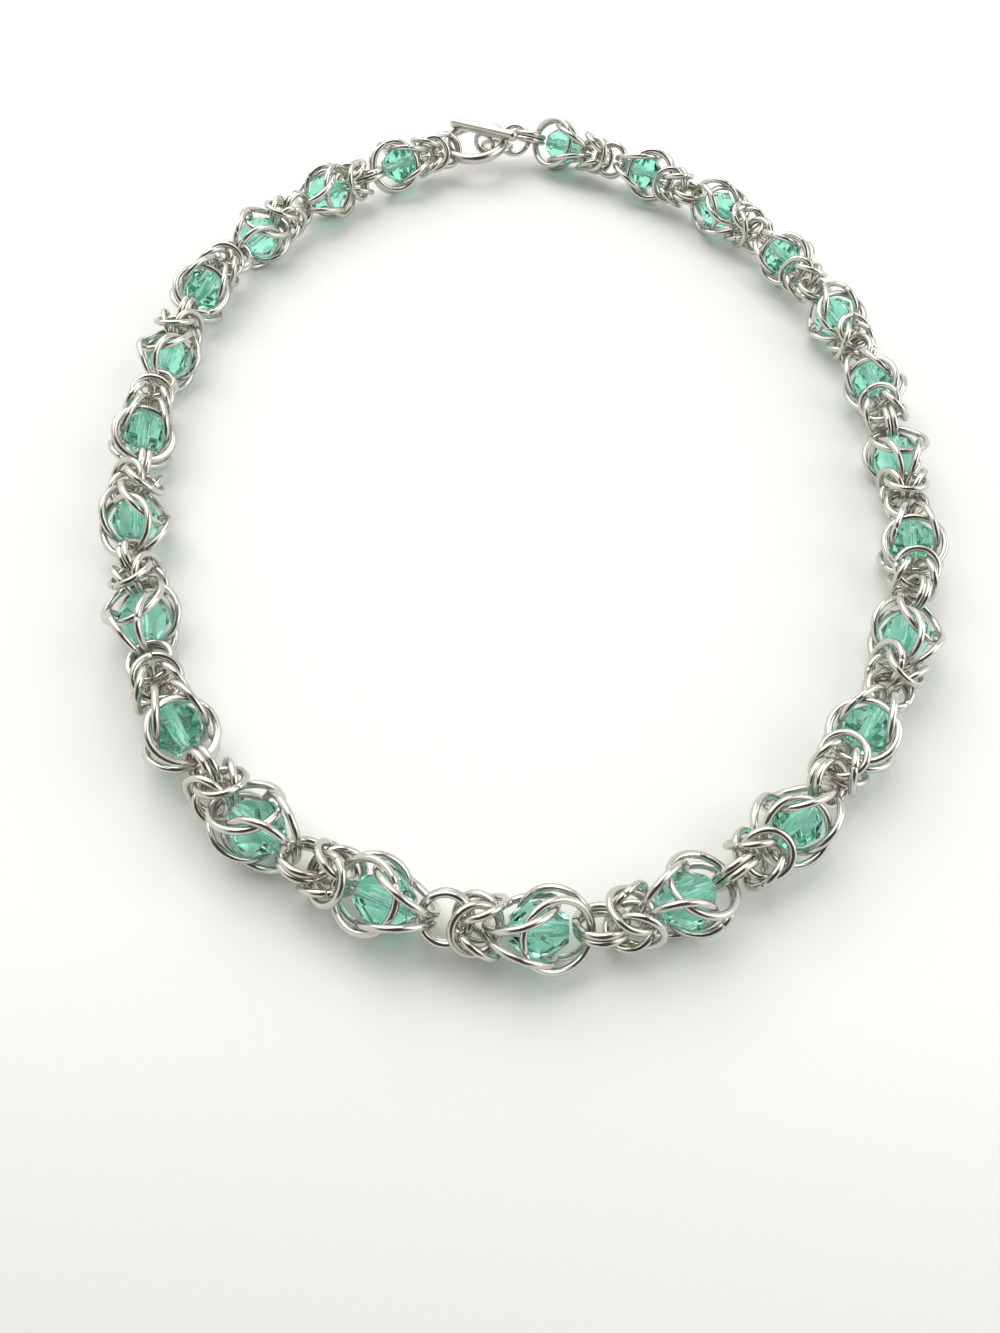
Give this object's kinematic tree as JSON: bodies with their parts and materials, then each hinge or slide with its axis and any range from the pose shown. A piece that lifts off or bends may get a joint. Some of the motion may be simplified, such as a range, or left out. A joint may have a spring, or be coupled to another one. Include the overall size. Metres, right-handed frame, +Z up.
{
  "type": "chainmail necklace with caged crystals and a toggle clasp",
  "caption": "Necklace of folded jump rings in a Byzantine-type chainmail weave, a faceted sea green crystal caged in each unit, closed by a toggle clasp, lying as a loop.",
  "frame": {"origin": "middle of the necklace's box, on the surface that it lies on", "axes": "+Z up, +Y from the front of the loop towards the clasp, +X to the right as seen from the front"},
  "size_m": [0.1532, 0.2074, 0.0123],
  "materials": {
    "ring_steel": "bright polished stainless steel wire",
    "clasp_steel": "polished stainless steel",
    "crystal": "clear sea green cut glass"
  },
  "bodies": {
    "root": {"crystal_01": "crystal", "crystal_02": "crystal", "crystal_03": "crystal", "crystal_04": "crystal", "crystal_05": "crystal", "crystal_06": "crystal", "crystal_07": "crystal", "crystal_08": "crystal", "crystal_09": "crystal", "crystal_10": "crystal", "crystal_11": "crystal", "crystal_12": "crystal", "crystal_13": "crystal", "crystal_14": "crystal", "crystal_15": "crystal", "crystal_16": "crystal", "crystal_17": "crystal", "crystal_18": "crystal", "crystal_19": "crystal", "crystal_20": "crystal", "crystal_21": "crystal", "crystal_22": "crystal", "crystal_23": "crystal", "crystal_24": "crystal", "cage_rings": "ring_steel", "knot_rings": "ring_steel", "toggle_ring": "clasp_steel", "toggle_bar": "clasp_steel", "end_links": "ring_steel"}
  },
  "joints": []
}
